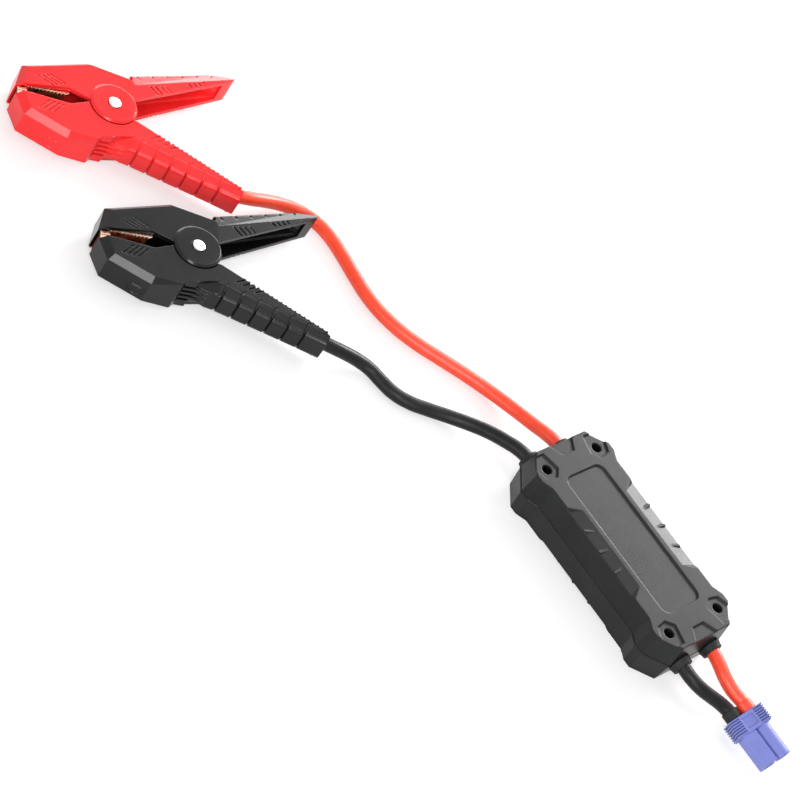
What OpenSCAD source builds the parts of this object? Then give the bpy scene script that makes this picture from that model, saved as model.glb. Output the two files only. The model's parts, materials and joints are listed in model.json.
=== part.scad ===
// Smart jumper clamp set: two sprung battery clamps, a moulded control box and a two-barrel plug,
// joined by silicone leads and laid flat on a table. Millimetres, +Z up.
// The origin is the middle of the control box's base. The clamp mouths run along X, noses towards -X.

/* [Clamp body] */
// Thickness of a clamp half across the rivet axis
clamp_t = 19; // [17:0.5:24]
// Back and nose wall of the moulded halves
shell_wall = 2.2; // [1.6:0.1:3]
// Side wall of the moving half
cheek_t = 2.5; // [2:0.1:3]
// Pivot ear of the cable half
ear_t = 2.2; // [1.5:0.1:2.6]
// Radius of the cable half's pivot ears
ear_r = 9.4; // [8:0.2:10.4]
// Running gap between ears and cheeks
ear_gap = 0.3; // [0.2:0.05:0.6]
// Bevel round the heads
bevel = 3.2; // [1:0.2:4]
// Diameter of the round pivot boss
boss_d = 22.4; // [21:0.2:24]
// Height of the pivot boss above the clamp face
boss_h = 1.2; // [1:0.1:3]
// Gap round the boss in the cable half
boss_gap = 0.6; // [0.4:0.1:1]

/* [Clamp head] */
// Pivot to nose
jaw_len = 49.4; // [46:0.2:54]
// Mouth centre line above the pivot
mouth_y = 0; // [-0.5:0.1:1]
// Half gap between the plastic noses
nose_gap = 2.4; // [1.5:0.1:3]
// Half gap of the plastic mouth by the jaw plates' middle
mouth_gap = 2.8; // [2.4:0.1:3.2]
// Half gap of the plastic mouth at its widest
back_gap = 5; // [4:0.1:6]
// Pivot to the widest part of the mouth
mouth_back = 22.4; // [20:0.2:24]
// Height of the moving half's nose corner
upper_nose_h = 16.3; // [15:0.1:18]
// Height of the moving half's crown
upper_crown_h = 26.4; // [25:0.1:29]
// Depth of the cable half's nose corner
lower_nose_h = 14.7; // [13:0.1:16]
// Depth of the cable half's shoulder
lower_shoulder_h = 25.2; // [24:0.1:27]
// Depth of the cable half's crown, in front of the neck
lower_crown_h = 24.4; // [23:0.1:26]
// Depth of the neck behind the head
neck_h = 21.6; // [20.6:0.2:22.4]

/* [Handles] */
// Pivot to the root of both grips
grip_root_x = 11.6; // [11:0.2:14]
// Root of the moving grip's back above the pivot
upper_root_h = 23.7; // [22:0.1:25]
// Slope of the moving grip's back
upper_slope = 16.8; // [14:0.2:20]
// Length of the moving grip
upper_grip_len = 59.5; // [54:0.5:66]
// Straight part of the moving grip's back
upper_back_len = 46; // [40:1:50]
// Thickness that the moving grip loses on each face towards its end
grip_taper = 2; // [0:0.25:2.5]
// Root of the cable grip's back below the pivot
lower_root_h = 24.1; // [23:0.1:26]
// Slope of the cable grip's back
lower_slope = 18.8; // [17:0.2:21]
// Length of the cable grip's back
lower_grip_len = 59; // [55:1:64]
// Drop of the moving grip's slanted strip
upper_strip_drop = 2.5; // [1.5:0.1:4]
// Drop of the cable grip's slanted strip
lower_strip_drop = 4; // [2:0.25:5]
// Width of the moving grip's slanted strip at the root
upper_strip_run = 7.6; // [4:0.2:8]
// Width of the cable grip's slanted strip at the root
lower_strip_run = 6.2; // [4:0.2:7]
// Step from the clamp face down to the slanted grip strips
strip_step = 0.7; // [0.4:0.1:1]
// Share of the strip that is left at the grip's end
strip_end = 0.7; // [0.3:0.05:1]
// Spacing of the grip grooves
groove_pitch = 8.7; // [7:0.1:10]
// Width of a grip groove
groove_w = 1; // [0.5:0.1:1.4]
// Depth of a grip groove
groove_depth = 1.1; // [0.4:0.1:1.2]

/* [Jaw plates] */
// Thickness of the copper plates
plate_t = 1.2; // [0.8:0.1:1.6]
// Height of a jaw plate from tooth tips to web
plate_h = 6; // [5:0.25:7]
// Half gap between the tooth tips when closed
tooth_gap = 2.6; // [2.3:0.1:3]
// Tooth pitch
tooth_pitch = 1.9; // [1.5:0.1:3]
// Tooth depth
tooth_h = 0.9; // [0.5:0.1:1.2]
// Gap between the closed plate tips
tip_gap = 0.3; // [0.2:0.05:0.6]

/* [Pivot] */
// Rivet shank diameter
rivet_d = 4; // [3.5:0.1:5]
// Rivet head diameter
rivet_head_d = 6.6; // [6:0.1:8]
// Diameter of the round polarity mark on the cable half's side
mark_d = 9.6; // [7:0.2:10]
// Height of the rivet heads above the pivot boss
rivet_proud = 0.8; // [0.4:0.1:1.2]
// Running clearance of rivet and bush, on the radius
run_gap = 0.06; // [0.03:0.01:0.1]
// Bush outer diameter
bush_d = 8.8; // [8:0.2:9.6]
// Spring wire diameter
wire_d = 1.6; // [1.2:0.1:1.8]
// Spring coil radius at the wire's middle
coil_r = 6.2; // [5.9:0.1:6.6]
// Gap between the spring's turns
coil_gap = 0.5; // [0.45:0.05:0.6]
// Length of the spring's legs
leg_len = 28.5; // [22:0.5:28.5]

/* [Control box] */
// Length at the parting line
box_len = 120.6; // [114:0.2:130]
// Width at the parting line
box_w = 55; // [53:0.5:60]
// Height of the box
box_h = 28; // [26:0.5:32]
// Wall of the box shells
box_wall = 2.6; // [2:0.1:3.2]
// Draft of each shell, all round
box_draft = 1.3; // [0.4:0.1:1.6]
// Corner chamfer along the length
corner_x = 11.5; // [10:0.5:13]
// Corner chamfer across the width
corner_y = 9.5; // [8:0.5:10.5]
// Step from the corner blocks to the sides
side_step = 2.8; // [1.5:0.1:3.2]
// Width of the top face at the waist
waist_w = 31.6; // [29:0.2:33]
// Height lost at the outer edge of the waist
waist_drop = 1.2; // [1:0.1:3]
// Length of the waist at the top face
waist_len = 45; // [42:0.5:48]
// Fin thickness
fin_t = 1.3; // [0.8:0.1:2]
// Fin spacing
fin_pitch = 10.4; // [9:0.1:11.5]
// Screw spacing along the box
screw_x = 98; // [96:0.5:102]
// Screw spacing across the box
screw_y = 36; // [33:0.5:37]
// Screw hole diameter in the top face
screw_hole_d = 5.2; // [5:0.1:5.6]
// Label panel length
panel_len = 82; // [74:0.5:84]
// Label panel width
panel_w = 26; // [22:0.5:27]
// Depth of panel, pockets and notches
recess = 0.9; // [0.5:0.1:1.4]
// Circuit board length
board_len = 84; // [80:0.5:86]
// Circuit board width
board_w = 32; // [28:0.5:36]
// Spacing of the leads at the box
lead_pitch = 22; // [21:0.5:24]

/* [Leads and plug] */
// Lead outer diameter
lead_d = 7; // [6:0.25:7]
// Fit of collars, clips and sleeves round a lead, on the radius
lead_fit = 0.1; // [0.05:0.05:0.3]
// Collar diameter in the box wall
collar_d = 10.6; // [10:0.2:11.4]
// Plug grip width
grip_w = 20; // [19.5:0.25:22]
// Plug grip length
grip_len = 9.2; // [8:0.2:11]
// Plug thickness
plug_t = 9.4; // [9.2:0.1:10.5]
// Length of the plug nose
nose_len = 17.4; // [15:0.2:20]
// Spacing of the plug's contacts
contact_pitch = 8.6; // [8.5:0.1:9]
// Bore of a plug contact
contact_bore = 5; // [4.5:0.1:5.2]
// Outer diameter of a plug contact
contact_d = 6.2; // [6:0.1:6.6]

/* [Hidden] */
$fn = 48;
over = 1;
far = 200;

// Where each clamp's pivot stands, and how the box and plug lie
red_pivot = [-241.6, 219.2];
black_pivot = [-206.6, 138.2];
box_yaw = -60;
plug_start = 96.4;
plug_side = 6.5;
plug_lift = 8.6;
plug_roll = 22;

clamp_z = clamp_t / 2 + boss_h + rivet_proud;
face_z = clamp_t / 2;
cheek_in = face_z - cheek_t;
ear_out = cheek_in - ear_gap;
ear_in = ear_out - ear_t;
trough_in = face_z - shell_wall;
boss_r = boss_d / 2;
parting_z = box_h / 2;
strip_wall = shell_wall + 0.4;

function turn(a) = [cos(a), sin(a)];
function side(a) = [-sin(a), cos(a)];
function mix(p, q, t) = p + (q - p) * t;
function heading(p, q) = atan2(q[1] - p[1], q[0] - p[0]);
// Corner of an outline shifted inwards by d, for an outline that runs anticlockwise
function inset_corner(a, p, b, d) =
    let (u = turn(heading(a, p)), v = turn(heading(p, b)))
    p + (v - u) * d / (u[0] * v[1] - u[1] * v[0]);

// Outline of the moving half, anticlockwise from the nose
nose_x = -jaw_len;
upper_root = [grip_root_x + 0.5, upper_root_h];
upper_back = upper_root + turn(upper_slope) * upper_back_len;
upper_reach = upper_root + turn(upper_slope) * upper_grip_len;
upper_end = upper_reach - side(upper_slope) * 4.4;
upper_rim_h = 5.8;
head_step = 2;
mouth_end = boss_r + 0.3;
mouth_mid = jaw_len - 8;
nose_rake = 4.5;
crown_x = 9.9;
upper = [
    [nose_x, mouth_y + nose_gap],
    [-mouth_mid, mouth_y + mouth_gap],
    [-mouth_back, mouth_y + back_gap],
    [-mouth_end, mouth_y + 0.8],
    [0, 0],
    [grip_root_x, upper_rim_h],
    upper_end - side(upper_slope) * 2 - turn(upper_slope) * 2.7,
    upper_end,
    upper_back,
    upper_root,
    [grip_root_x, upper_root_h - head_step],
    [-crown_x, upper_crown_h],
    [nose_x + nose_rake, upper_nose_h]
];

// Thickness that each face of the moving half has lost at a place along X
function taper_at(x) = grip_taper * max(0, x - grip_root_x) / (upper_end[0] - grip_root_x);

// Outline of the cable half, anticlockwise from the nose
lower_root = [grip_root_x - 4, -lower_root_h];
lower_end = lower_root + turn(-lower_slope) * lower_grip_len;
lower_lip = 4;
lower_rim_h = 8.2;
lower_rake = 3.2;
shoulder_x = 25.6;
lower_crown_x = 10.4;
neck_front = 7.4;
neck_back = 1.9;
neck_wall = 3.6;
lower = [
    [nose_x, mouth_y - nose_gap],
    [nose_x + lower_rake, -lower_nose_h],
    [-shoulder_x, -lower_shoulder_h],
    [-lower_crown_x, -lower_crown_h],
    [-neck_front, -neck_h],
    [-neck_back, -neck_h],
    lower_root,
    lower_end,
    lower_end + side(-lower_slope) * lower_lip,
    [grip_root_x, -lower_rim_h],
    [-mouth_end, mouth_y - 0.8],
    [-mouth_back, mouth_y - back_gap],
    [-mouth_mid, mouth_y - mouth_gap]
];

// Lead axis inside the cable grip: it lies on the inside of the grip's back
lead_depth = shell_wall + 0.3 + lead_d / 2;
lug_back = 24;
lug_len = 9;
clip_at = 27;
clip_len = 6;
grip_stop = 3.5;

nose_lean = nose_rake / (upper_nose_h - mouth_y - nose_gap);
plate_front = jaw_len - (tooth_gap + plate_h - nose_gap) * nose_lean - shell_wall * 1.06 - 0.3;
lip_front = jaw_len - 1.2;
plate_back = mouth_back - 0.8;
plate_w = 2 * cheek_in - 0.4;
plate_screw_x = jaw_len - 15;
boss_pin_d = 6.4;
jaw_screw_d = 2.4;
jaw_head_d = 4.8;
jaw_head_h = 1.5;

coil_pitch = wire_d + coil_gap;
lower_leg = -39;
upper_leg = 36.5;
coil_turn = 3 * 360 + (lower_leg - 90) - (upper_leg + 90 - 360);
coil_rise = coil_pitch * coil_turn / 360;

// Lead routes, chosen by hand: clamp lug to box terminal, and box terminal to plug
red_route = [
    [-209.3, 193, 11.5], [-200, 189.8, 11.5], [-192.3, 187.2, 11.5], [-185, 185, 11.5], [-179, 183.9, 11.5],
    [-173, 184, 11.2],
    [-167, 185, 10.2], [-159, 187.2, 8.2], [-150, 189, 6], [-140, 188.6, 4.2], [-131, 184.4, 3.5],
    [-124, 176.4, 3.5], [-118.4, 165.4, 3.5], [-113, 152.4, 3.5], [-107, 140, 3.5], [-98.4, 128.6, 3.5],
    [-86.6, 118.4, 3.5], [-73, 110.2, 3.5], [-60, 102.6, 3.5], [-48.4, 94.4, 4], [-38.4, 84, 6.4],
    [-30.8, 73, 10.2], [-25.6, 65.4, 13], [-22, 60.1, 14], [-12.5, 43.6, 14]
];
black_route = [
    [-174.3, 112, 11.5], [-165, 108.8, 11.5], [-157.3, 106.2, 11.5], [-150, 103.8, 11.5], [-143, 101.6, 11.4],
    [-136, 99.8, 10.6],
    [-128, 99, 8.4], [-120.5, 98.2, 5.8], [-114, 95.4, 4.2], [-108.6, 90, 3.5], [-103, 84, 3.5],
    [-95, 79.6, 3.5], [-85, 77, 3.6], [-75, 74.2, 4.4], [-65, 70, 6.4], [-56.4, 64.6, 9.2],
    [-49.4, 58, 12.2], [-44.6, 53.4, 13.6], [-41, 49.1, 14], [-31.5, 32.6, 14]
];
// Short leads, in the box's own frame
lead_end = 44;
red_tail = [
    [44, 11, 14], [64, 11, 14], [70, 10, 13.6], [77, 8.6, 12.6], [84, 8.8, 11.2], [90.5, 10.4, 10.3],
    [96.4, 10.5, 10.2]
];
black_tail = [
    [44, -11, 14], [64, -11, 14], [71, -10.4, 13.4], [77, -7.8, 12], [82, -3.6, 10], [86.6, 0.4, 8],
    [91, 2.4, 7.1], [96.4, 2.5, 7]
];

// Shared shapes

module at_clamp(pivot) {
    translate([pivot[0], pivot[1], clamp_z]) children();
}

module at_box() {
    rotate([0, 0, box_yaw]) children();
}

module at_plug() {
    at_box() translate([plug_start, plug_side, plug_lift]) rotate([plug_roll, 0, 0]) children();
}

// The shape and its mirror image across the clamp's middle plane
module both_faces() {
    children();
    mirror([0, 0, 1]) children();
}

// Places a section drawn across an edge, its first axis to the inside and its second up, along the edge
module along_edge(p, q) {
    translate([p[0], p[1], 0])
        rotate([0, 0, heading(p, q)])
            rotate([90, 0, 90])
                children();
}

// Triangle cut off the face's corner
module bevel_section(run, drop) {
    polygon([
        [run, face_z],
        [-over, face_z - drop * (run + over) / run],
        [-over, face_z + over],
        [run, face_z + over]
    ]);
}

// Bevel along an edge of the outline, run out into the air at both ends
module edge_bevel(p, q) {
    both_faces()
        along_edge(p, q)
            translate([0, 0, -over])
                linear_extrude(norm(q - p) + 2 * over)
                    bevel_section(bevel, bevel);
}

// Bevel that dies away along an edge of the outline
module edge_runout(p, q) {
    least = 0.2;
    both_faces() hull() {
        along_edge(p, q) translate([0, 0, -over]) linear_extrude(least) bevel_section(bevel, bevel);
        along_edge(p, q) translate([0, 0, norm(q - p)]) linear_extrude(over) bevel_section(least, least);
    }
}

// Section of a slanted strip: a step down from the face, then a slope to the grip's back
module strip_section(level, run, drop, step) {
    slope = (drop - step) / run;
    polygon([
        [run, face_z + over], [run, level - step],
        [-over, level - drop - slope * over], [-over, face_z + over]
    ]);
}

// Slice of a slanted strip, a distance along the grip from its root
module strip_slice(root, end, place, level, run, drop, step, thick = over) {
    flip = end[1] > root[1] ? -1 : 1;
    base = root + place * turn(heading(root, end));
    translate([base[0], base[1], 0])
        rotate([0, 0, heading(root, end)])
            rotate([90, 0, 90])
                scale([flip, 1, 1])
                    linear_extrude(thick)
                        strip_section(level, run, drop, step);
}

// Slanted strip of a grip, widest at the root. Sunk in by a wall's thickness it is the cavity's ceiling.
module grip_strip(root, end, run, drop, taper, sunk = 0) {
    both_faces() translate([0, 0, -sunk]) hull() {
        strip_slice(root, end, -1.5 * over, face_z, run, drop, strip_step);
        strip_slice(root, end, norm(end - root), face_z - taper, run * strip_end, drop, strip_step);
    }
}

module upper_strip(sunk = 0) {
    grip_strip(upper_root, upper_reach, upper_strip_run, upper_strip_drop, grip_taper, sunk);
}

module lower_strip() {
    grip_strip(lower_root, lower_end, lower_strip_run, lower_strip_drop, 0);
}

// Ceiling of the cable grip's cavity, under the slanted strips
module lower_ceiling(sunk) {
    both_faces()
        translate([0, 0, -sunk])
            strip_slice(
                lower_root, lower_end, 0, face_z, lower_strip_run, lower_strip_drop, strip_step, lower_grip_len
            );
}

// Pointed start of the cable grip's strip, under the arched edge of the neck
module strip_tip(root, end, run, drop) {
    tip_len = 10;
    both_faces() hull() {
        strip_slice(root, end, 0, face_z, run, drop, strip_step);
        strip_slice(root, end, -tip_len, face_z, 0.4, drop, drop - strip_step);
    }
}

// Grooves that wrap the grip's back and both slanted strips
module grip_grooves(root, end, run, drop, taper, first, last) {
    len = norm(end - root);
    count = floor((last - first) / groove_pitch) + 1;
    flip = end[1] > root[1] ? -1 : 1;
    for (i = [0 : count - 1]) {
        place = first + i * groove_pitch;
        base = mix(root, end, place / len);
        inner = run * (1 - place / len * (1 - strip_end)) + 2 * groove_depth;
        wall_z = face_z - taper * place / len - drop - groove_depth / 2;
        translate([base[0], base[1], 0])
            rotate([0, 0, heading(root, end)])
                rotate([90, 0, 90])
                    scale([flip, 1, 1])
                        linear_extrude(groove_w)
                            polygon([
                                [inner, face_z + over], [groove_depth, wall_z],
                                [groove_depth, -wall_z], [inner, -face_z - over],
                                [-over, -face_z - over], [-over, face_z + over]
                            ]);
    }
}

// Row of slanted cuts in both faces, which lie a little lower where the moving grip tapers
module face_hatch(place, slope, count, step, len, fall = 0) {
    hatch_w = 0.8;
    hatch_depth = 0.7;
    both_faces() for (i = [0 : count - 1])
        translate([place[0] + i * step[0], place[1] + i * step[1], face_z - fall - hatch_depth])
            rotate([0, 0, slope])
                translate([-len / 2, -hatch_w / 2, 0])
                    cube([len, hatch_w, hatch_depth + fall + over]);
}

// Tube swept along a list of points, one ring to a point
function ring(p, ahead, r, sides) =
    let (
        flat = norm([ahead[0], ahead[1]]),
        across = [-ahead[1], ahead[0], 0] / flat,
        rise = cross(ahead, across) / norm(ahead)
    )
    [for (i = [0 : sides - 1]) p + r * (cos(360 * i / sides) * across + sin(360 * i / sides) * rise)];

module tube(path, d, sides) {
    last = len(path) - 1;
    points = [
        for (i = [0 : last])
            each ring(path[i], path[min(i + 1, last)] - path[max(i - 1, 0)], d / 2, sides)
    ];
    walls = [
        for (i = [0 : last - 1], j = [0 : sides - 1])
            let (a = i * sides + j, b = i * sides + (j + 1) % sides)
            each [[a, a + sides, b], [b, a + sides, b + sides]]
    ];
    first_cap = [for (j = [1 : sides - 2]) [0, j, j + 1]];
    last_cap = [for (j = [1 : sides - 2]) [last * sides, last * sides + j + 1, last * sides + j]];
    polyhedron(points, concat(walls, first_cap, last_cap));
}

// Clamp pieces, drawn about the pivot with the middle plane at z = 0

// Everything between the moving half's two faces, which close in towards the grip's end
module between_faces(half) {
    end_x = upper_end[0] + 2 * over;
    end_half = half - taper_at(end_x);
    rotate([90, 0, 0]) linear_extrude(far, center = true) polygon([
        [-far, -half], [grip_root_x, -half], [end_x, -end_half],
        [end_x, end_half], [grip_root_x, half], [-far, half]
    ]);
}

module moving_shell() {
    nose_in = inset_corner(upper[12], upper[0], upper[1], shell_wall);
    hatch_x = grip_root_x + 11;
    difference() {
        union() {
            intersection() {
                linear_extrude(2 * clamp_t, center = true) polygon(upper);
                between_faces(face_z);
            }
            cylinder(d = boss_d, h = clamp_t, center = true);
            both_faces() translate([0, 0, face_z]) cylinder(r1 = boss_r + boss_h, r2 = boss_r, h = boss_h);
        }
        for (i = [10 : 12]) edge_bevel(upper[i], upper[(i + 1) % 13]);
        upper_strip();
        grip_grooves(
            upper_root, upper_reach, upper_strip_run, upper_strip_drop, grip_taper,
            groove_pitch * 0.3, upper_back_len + over
        );
        difference() {
            intersection() {
                linear_extrude(2 * clamp_t, center = true)
                    polygon([
                        [nose_in[0], -far / 4],
                        [upper_end[0], -far / 4],
                        inset_corner(upper[6], upper[7], upper[8], shell_wall)
                            - turn(upper_slope) * grip_stop,
                        inset_corner(upper[7], upper[8], upper[9], shell_wall),
                        inset_corner(upper[8], upper[9], upper[10], shell_wall),
                        inset_corner(upper[9], upper[10], upper[11], shell_wall),
                        inset_corner(upper[10], upper[11], upper[12], shell_wall),
                        inset_corner(upper[11], upper[12], upper[0], shell_wall),
                        nose_in
                    ]);
                between_faces(cheek_in);
            }
            upper_plate_seat();
            upper_strip(strip_wall);
        }
        upper_plate_pilot();
        rivet_holes();
        face_hatch([nose_x + 15, mouth_y + 6.9], -30, 4, [2.05, 0.85], 9);
        face_hatch([hatch_x, 14.8], -52, 4, [3, 0.7], 6, taper_at(hatch_x + 5));
        face_hatch([2 * hatch_x - 1.8, 24.1], -52, 4, [2.7, 1.13], 2.8, taper_at(2 * hatch_x + 4));
    }
}

// Round recess in a side wall, in which the polarity sign's bars stand
module polarity_mark(p, q, place, plus) {
    depth = 0.5;
    bar = 1.3;
    arm = mark_d * 0.58;
    translate([p[0], p[1], 0])
        rotate([0, 0, heading(p, q)])
            translate([place, 0, 0])
                difference() {
                    translate([0, depth, 0]) rotate([90, 0, 0]) cylinder(d = mark_d, h = depth + over);
                    translate([-arm / 2, -2 * over, -bar / 2]) cube([arm, 4 * over, bar]);
                    if (plus) translate([-bar / 2, -2 * over, -arm / 2]) cube([bar, 4 * over, arm]);
                }
}

module cable_shell(plus) {
    nose_in = inset_corner(lower[12], lower[0], lower[1], shell_wall);
    end_in = lower_end - turn(-lower_slope) * shell_wall;
    cavity = [
        inset_corner(lower[0], lower[1], lower[2], shell_wall),
        inset_corner(lower[1], lower[2], lower[3], shell_wall),
        inset_corner(lower[2], lower[3], lower[4], shell_wall),
        [-neck_front, neck_wall - neck_h],
        [-neck_back, neck_wall - neck_h],
        lower_root + side(-lower_slope) * shell_wall,
        end_in + side(-lower_slope) * shell_wall,
        end_in + side(-lower_slope) * far / 4,
        [nose_in[0], far / 4]
    ];
    ear_reach = boss_r + boss_gap + 1.4;
    difference() {
        union() {
            linear_extrude(clamp_t, center = true) polygon(lower);
            cylinder(r = ear_r, h = 2 * ear_out, center = true);
        }
        for (i = [0 : 1]) edge_bevel(lower[i], lower[i + 1]);
        edge_runout(lower[2], lower[3]);
        polarity_mark(lower[1], lower[2], norm(lower[2] - lower[1]) - 5.3, plus);
        lower_strip();
        strip_tip(lower_root, lower_end, lower_strip_run, lower_strip_drop);
        grip_grooves(
            lower_root, lower_end, lower_strip_run, lower_strip_drop, 0,
            groove_pitch * 0.35, lower_grip_len - groove_pitch
        );
        both_faces() translate([0, 0, ear_out]) cylinder(r = boss_r + boss_gap, h = clamp_t);
        both_faces() translate([0, 0, face_z - over]) cylinder(
            r1 = boss_r + boss_gap, r2 = boss_r + boss_gap + 2 * over, h = 2 * over);
        difference() {
            union() {
                linear_extrude(2 * ear_in, center = true) polygon(cavity);
                difference() {
                    linear_extrude(2 * trough_in, center = true) polygon(cavity);
                    translate([-ear_reach, -far / 2, -far / 2]) cube([2 * ear_reach, far, far]);
                }
            }
            lower_plate_seat();
            lower_ceiling(strip_wall);
        }
        lower_plate_pilot();
        lead_bore(lower_grip_len - grip_stop, 2 * grip_stop, lead_d / 2 + 2 * lead_fit);
        cylinder(d = rivet_d + 2 * run_gap, h = far, center = true);
        neck_louvres();
        face_hatch([nose_x + 13, mouth_y - 8.4], 46, 4, [2.45, -0.35], 9);
        face_hatch([grip_root_x + 8.6, -16.2], 28, 4, [3.1, -1.5], 6);
    }
}

// Four louvres one above the other in the neck
module neck_louvres() {
    slot = 1.5;
    depth = 1.6;
    for (i = [-1.5 : 1.5])
        translate([0, 0, i * 2 * slot])
            linear_extrude(slot, center = true)
                polygon([
                    [-lower_crown_x + over, depth - lower_crown_h],
                    [-neck_front, depth - neck_h],
                    [-neck_back, depth - neck_h],
                    lower_root + [-2 * over, depth / 2],
                    [lower_root[0] - 2 * over, -far / 4],
                    [-lower_crown_x + over, -far / 4]
                ]);
}

// Cylinder along the lead's axis in the cable grip, measured from the grip's root
module lead_bore(start, len, r) {
    base = lower_root + turn(-lower_slope) * start + side(-lower_slope) * lead_depth;
    translate([base[0], base[1], 0])
        rotate([0, 90, -lower_slope])
            cylinder(r = r, h = len);
}

module rivet_holes() {
    cylinder(d = rivet_d + 2 * run_gap, h = far, center = true);
    both_faces()
        translate([0, 0, face_z + boss_h - rivet_sink()])
            cylinder(d = rivet_head_d + 0.6, h = rivet_sink() + over);
}

function rivet_sink() = 0.4;

module rivet() {
    head_base = face_z + boss_h - rivet_sink() + 0.1;
    head_h = rivet_proud + rivet_sink() - 0.1;
    color("silver") {
        cylinder(d = rivet_d, h = 2 * head_base + 0.4, center = true);
        both_faces() translate([0, 0, head_base]) rotate_extrude() polygon([
            [0, 0], [rivet_head_d / 2, 0], [rivet_head_d / 2, head_h / 2],
            [rivet_head_d / 2 - 0.8, head_h], [0, head_h]
        ]);
    }
}

module bush() {
    color("gray") difference() {
        cylinder(d = bush_d, h = 2 * ear_in - 0.2, center = true);
        cylinder(d = rivet_d + 2 * run_gap, h = far, center = true);
    }
}

// Torsion spring: one leg to each grip, wound clockwise upwards
module spring() {
    steps = ceil(coil_turn / 45);
    start = lower_leg - 90;
    coil = [
        for (i = [0 : steps])
            let (a = start - coil_turn * i / steps)
            [coil_r * cos(a), coil_r * sin(a), coil_rise * (i / steps - 0.5)]
    ];
    foot = coil[0] + leg_len * [cos(lower_leg), sin(lower_leg), 0];
    tip = coil[steps] + leg_len * [cos(upper_leg), sin(upper_leg), 0];
    knee = 2;
    path = concat(
        [foot, coil[0] + knee * [cos(lower_leg), sin(lower_leg), 0]],
        coil,
        [coil[steps] + knee * [cos(upper_leg), sin(upper_leg), 0], tip]
    );
    turn_gaps = [for (i = [0 : steps - 8]) norm(coil[i + 8] - coil[i]) - wire_d];
    echo(least_gap_between_turns = min(turn_gaps));
    color("dimgray") tube(path, wire_d, 6);
}

// Toothed copper channel, drawn for the moving half with its teeth pointing down
module jaw_plate() {
    tip_y = tooth_gap;
    web_y = tip_y + plate_h;
    front_gap = tip_gap / 2;
    teeth_len = plate_front - plate_t - plate_back;
    count = floor(teeth_len / tooth_pitch);
    flange = concat(
        [[-plate_front, web_y], [-plate_front, front_gap], [-plate_front + plate_t, front_gap]],
        [
            for (i = [0 : count - 1])
                let (x = -plate_front + plate_t + i * tooth_pitch)
                each [[x, tip_y + tooth_h], [x + tooth_pitch / 2, tip_y]]
        ],
        [[-plate_back, tip_y + tooth_h], [-plate_back, web_y]]
    );
    difference() {
        union() {
            both_faces()
                translate([0, 0, plate_w / 2 - plate_t])
                    linear_extrude(plate_t) polygon(flange);
            translate([-plate_front, web_y - plate_t, -plate_w / 2])
                cube([plate_front - plate_back, plate_t, plate_w]);
            translate([-plate_front, front_gap, -plate_w / 2])
                cube([plate_t, web_y - front_gap, plate_w]);
            translate([-lip_front, front_gap, -plate_w / 2])
                cube([lip_front - plate_front + plate_t / 2, nose_gap - 0.3 - front_gap, plate_w]);
        }
        translate([-plate_screw_x, 0, 0]) rotate([-90, 0, 0]) cylinder(d = jaw_screw_d + 0.4, h = far);
    }
}

module upper_jaw() {
    color("peru") translate([0, mouth_y, 0]) jaw_plate();
}

module lower_jaw() {
    color("peru") translate([0, mouth_y, 0]) mirror([0, 1, 0]) jaw_plate();
}

// Round post between a plate's web and the shell's back
module plate_post(start) {
    translate([-plate_screw_x, start, 0]) rotate([-90, 0, 0]) cylinder(d = boss_pin_d, h = far);
}

module plate_pilot(start) {
    pilot_len = 8;
    translate([-plate_screw_x, start - over, 0])
        rotate([-90, 0, 0])
            cylinder(d = jaw_screw_d + 0.1, h = pilot_len + over);
}

function web_top() = tooth_gap + plate_h;

module upper_plate_seat() {
    translate([0, mouth_y, 0]) plate_post(web_top());
}

module lower_plate_seat() {
    translate([0, mouth_y, 0]) mirror([0, 1, 0]) plate_post(web_top());
}

module upper_plate_pilot() {
    translate([0, mouth_y, 0]) plate_pilot(web_top());
}

module lower_plate_pilot() {
    translate([0, mouth_y, 0]) mirror([0, 1, 0]) plate_pilot(web_top());
}

module jaw_screw() {
    screw_len = 7;
    color("silver") translate([-plate_screw_x, web_top() - plate_t - jaw_head_h, 0]) rotate([-90, 0, 0]) {
        difference() {
            cylinder(d = jaw_head_d, h = jaw_head_h);
            for (a = [0, 90]) rotate([0, 0, a]) translate([-0.4, -jaw_head_d / 3, -over])
                cube([0.8, jaw_head_d * 2 / 3, over + 0.8]);
        }
        cylinder(d = jaw_screw_d, h = jaw_head_h + plate_t + screw_len);
    }
}

module upper_jaw_screw() {
    translate([0, mouth_y, 0]) jaw_screw();
}

module lower_jaw_screw() {
    translate([0, mouth_y, 0]) mirror([0, 1, 0]) jaw_screw();
}

// Copper lug: a barrel on the lead's end and a strap to the lower jaw plate
module lug() {
    barrel = lower_root + turn(-lower_slope) * (lug_back - lug_len / 2) + side(-lower_slope) * lead_depth;
    strap_y = mouth_y - web_top();
    strap_low = -1.6;
    strap_w = 5.4;
    bend = [
        [-plate_screw_x + boss_pin_d / 2 + 1, strap_y],
        [-plate_back, strap_y],
        [-boss_r, strap_y - 3.5],
        [grip_root_x - 5, barrel[1] + 6.5],
        barrel
    ];
    color("peru") {
        lead_bore(lug_back - lug_len, lug_len, lead_d / 2 + lead_fit);
        translate([0, 0, strap_low])
            linear_extrude(strap_w)
                polygon(concat(bend, [for (i = [4 : -1 : 0]) bend[i] - [0, plate_t]]));
    }
}

module cable_clip(shade) {
    base = lower_root + turn(-lower_slope) * clip_at + side(-lower_slope) * (shell_wall + 0.05);
    height = lead_d + 1.6;
    color(shade) difference() {
        translate([base[0], base[1], 0])
            rotate([0, 0, -lower_slope])
                translate([0, 0, 0.2 - trough_in])
                    cube([clip_len, height, 2 * trough_in - 0.4]);
        lead_bore(clip_at - over, clip_len + 2 * over, lead_d / 2 + lead_fit);
        lower_ceiling(strip_wall + 0.2);
    }
}

// Control box pieces, drawn about the box's own centre

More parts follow.
